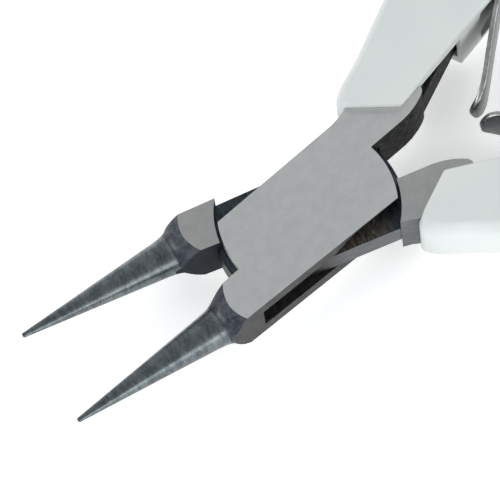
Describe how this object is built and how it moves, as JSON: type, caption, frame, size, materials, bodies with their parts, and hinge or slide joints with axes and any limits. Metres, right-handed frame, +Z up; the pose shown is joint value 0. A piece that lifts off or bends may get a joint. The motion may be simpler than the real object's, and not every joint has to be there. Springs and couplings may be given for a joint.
{
  "type": "round nose pliers",
  "caption": "Small box-joint hand tool with two tapering round jaws for forming wire loops, moulded handles and a two-leaf return spring.",
  "frame": {"origin": "on the pivot axis, in the plane of the joint's lower ground face", "axes": "+X along the tool from the jaws to the handles, +Y across it on the box lever's handle side, +Z up along the pivot axis"},
  "size_m": [0.1431, 0.0744, 0.0095],
  "materials": {
    "ground_steel": "fine ground satin on the flats, darker turned jaws, black forge scale on the necks",
    "pin_steel": "ground",
    "white_moulding": "fine satin moulded",
    "spring_steel": "dark blued, polished edges",
    "screw_steel": "blackened"
  },
  "bodies": {
    "box_side": {"box_lever": "ground_steel", "joint_pin": "pin_steel", "box_grip": "white_moulding", "box_leaf_root": "spring_steel", "box_spring_screw": "screw_steel"},
    "web_side": {"web_lever": "ground_steel", "web_grip": "white_moulding", "web_leaf_root": "spring_steel", "web_spring_screw": "screw_steel"},
    "box_leaf": {"box_leaf_arm": "spring_steel"},
    "web_leaf": {"web_leaf_arm": "spring_steel"}
  },
  "joints": [
    {"name": "jaw_hinge", "type": "hinge", "parent": "box_side", "child": "web_side", "pos_m": [0, 0, 0.00325], "axis": [0, 0, 1], "range_deg": [-6, 18.3], "stiffness_Nm_per_rad": 1.1},
    {"name": "box_leaf_flex", "type": "hinge", "parent": "box_side", "child": "box_leaf", "pos_m": [0.02718, 0.00928, 0.00325], "axis": [0, 0, 1], "range_deg": [-15, 6]},
    {"name": "web_leaf_flex", "type": "hinge", "parent": "web_side", "child": "web_leaf", "pos_m": [0.02718, -0.00928, 0.00325], "axis": [0, 0, 1], "range_deg": [-6, 15]}
  ],
  "couplings": [
    {"joint": "box_leaf_flex", "follows": "jaw_hinge", "ratio": -0.75},
    {"joint": "web_leaf_flex", "follows": "jaw_hinge", "ratio": 0.75}
  ]
}
